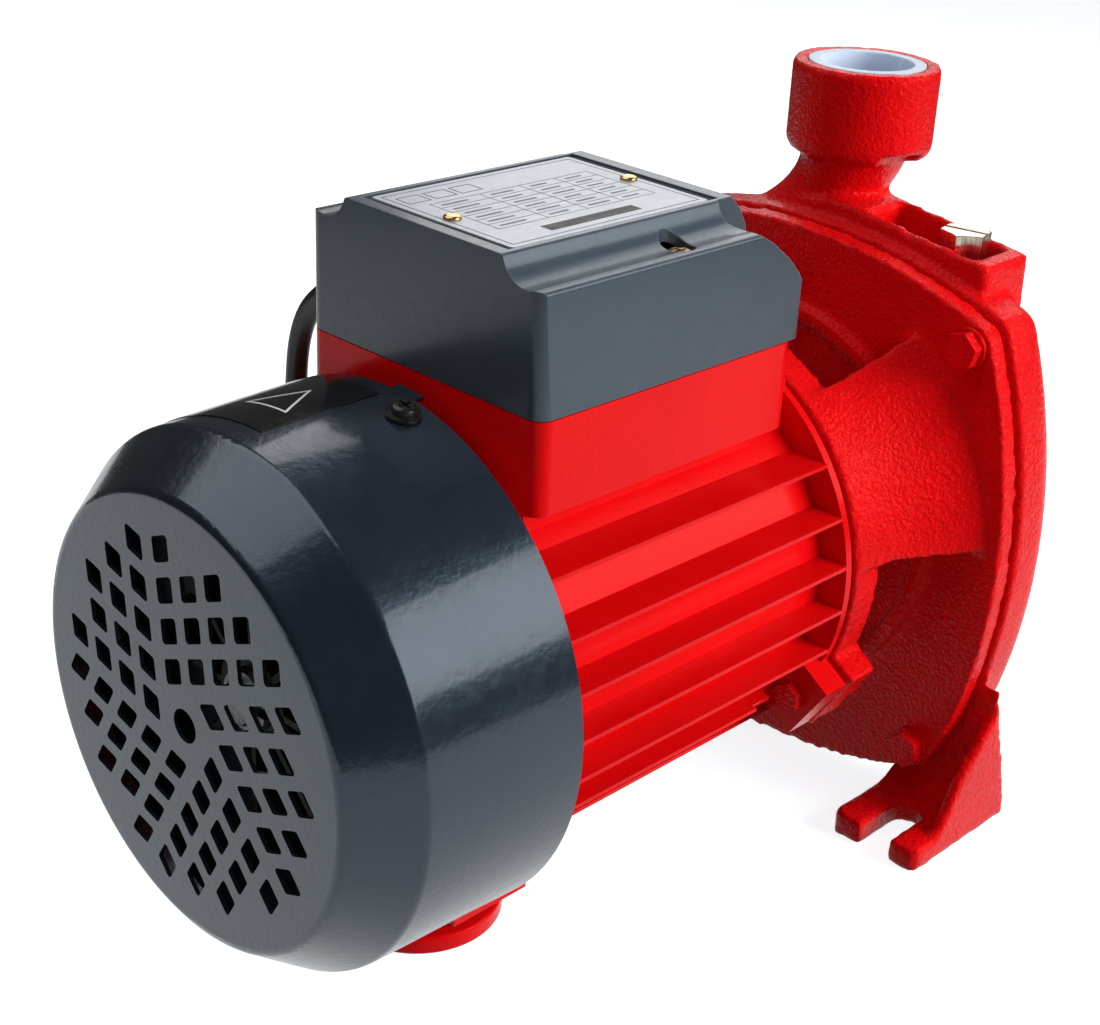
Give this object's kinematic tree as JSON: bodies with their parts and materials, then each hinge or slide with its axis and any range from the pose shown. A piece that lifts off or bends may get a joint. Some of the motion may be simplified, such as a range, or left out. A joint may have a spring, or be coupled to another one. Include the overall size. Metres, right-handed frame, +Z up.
{
  "type": "centrifugal water pump",
  "caption": "Close-coupled electric centrifugal water pump: finned motor with fan cover and terminal box, cast bracket and casing with threaded ports and slotted feet.",
  "frame": {"origin": "midway between the two foot bolts, on the floor that the feet stand on", "axes": "+X along the shaft towards the suction port, +Z up, the supply cord leaves the terminal box towards +Y"},
  "size_m": [0.2966, 0.2298, 0.2286],
  "materials": {
    "red_cast": "rough casting, glossy red enamel",
    "red_frame": "smooth die casting, glossy red enamel",
    "slate_paint": "glossy slate grey enamel with slight orange peel",
    "slate_plastic": "satin slate grey",
    "black_plastic": "satin black",
    "black_label": "glossy black film",
    "white_plastic": "translucent blue-white",
    "nickel": "nickel plated",
    "brass": "bright",
    "plate": "satin silver",
    "steel": "machined",
    "dark_steel": "black zinc plated",
    "lamination": "stacked sheet",
    "die_cast": "raw casting",
    "winding": "varnished copper wire",
    "rubber": "matt black",
    "ceramic": "lapped ceramic",
    "cord": "satin black"
  },
  "bodies": {
    "housing": {"fan_cover": "slate_paint", "cover_screws": "dark_steel", "cover_sticker": "black_label", "rear_end_shield": "die_cast", "wave_washer": "steel", "rear_bearing_outer": "steel", "front_bearing_outer": "steel", "stator_core": "lamination", "stator_winding": "winding", "motor_frame": "red_frame", "support_foot": "red_frame", "foot_screw": "steel", "lid_gasket": "rubber", "terminal_lid": "slate_plastic", "lid_screws": "brass", "nameplate": "plate", "nameplate_rivets": "brass", "terminal_block": "white_plastic", "capacitor": "white_plastic", "cable_gland": "black_plastic", "gland_nut": "black_plastic", "cord_sleeve": "black_plastic", "supply_cord": "cord", "cord_coil": "cord", "plug_cord": "cord", "mains_plug": "black_plastic", "front_bracket": "red_cast", "tie_bolts": "red_cast", "flange_bolts": "red_cast", "volute_casing": "red_cast", "casing_seal": "rubber", "seal_seat": "ceramic"},
    "rotor": {"shaft": "steel", "rotor_core": "lamination", "rotor_cage": "die_cast", "cooling_fan": "black_plastic", "fan_clip": "steel", "impeller": "brass", "impeller_key": "steel", "impeller_nut": "steel", "rear_bearing_inner": "steel", "front_bearing_inner": "steel", "seal_ring": "black_plastic", "seal_bellows": "rubber", "slinger": "rubber"},
    "rear_bearing_cage": {"rear_bearing_balls": "steel"},
    "front_bearing_cage": {"front_bearing_balls": "steel"},
    "priming_stopper": {"priming_plug": "nickel", "priming_washer": "nickel"},
    "drain_stopper": {"drain_plug": "nickel"},
    "outlet_stopper": {"outlet_plug": "white_plastic"},
    "inlet_stopper": {"inlet_plug": "white_plastic"}
  },
  "joints": [
    {"name": "rotor_spin", "type": "hinge", "parent": "housing", "child": "rotor", "pos_m": [0, 0, 0.092], "axis": [1, 0, 0], "continuous": true},
    {"name": "rear_cage_spin", "type": "hinge", "parent": "housing", "child": "rear_bearing_cage", "pos_m": [-0.159, 0, 0.092], "axis": [1, 0, 0], "continuous": true},
    {"name": "front_cage_spin", "type": "hinge", "parent": "housing", "child": "front_bearing_cage", "pos_m": [-0.016, 0, 0.092], "axis": [1, 0, 0], "continuous": true},
    {"name": "priming_plug_lift", "type": "slide", "parent": "housing", "child": "priming_stopper", "axis": [0, 0, 1], "range_m": [0, 0.02]},
    {"name": "drain_plug_draw", "type": "slide", "parent": "housing", "child": "drain_stopper", "axis": [1, 0, 0], "range_m": [0, 0.02]},
    {"name": "outlet_plug_lift", "type": "slide", "parent": "housing", "child": "outlet_stopper", "axis": [0, 0, 1], "range_m": [0, 0.065]},
    {"name": "inlet_plug_draw", "type": "slide", "parent": "housing", "child": "inlet_stopper", "axis": [1, 0, 0], "range_m": [0, 0.065]}
  ],
  "couplings": [
    {"joint": "rear_cage_spin", "follows": "rotor_spin", "ratio": 0.38},
    {"joint": "front_cage_spin", "follows": "rotor_spin", "ratio": 0.38}
  ]
}
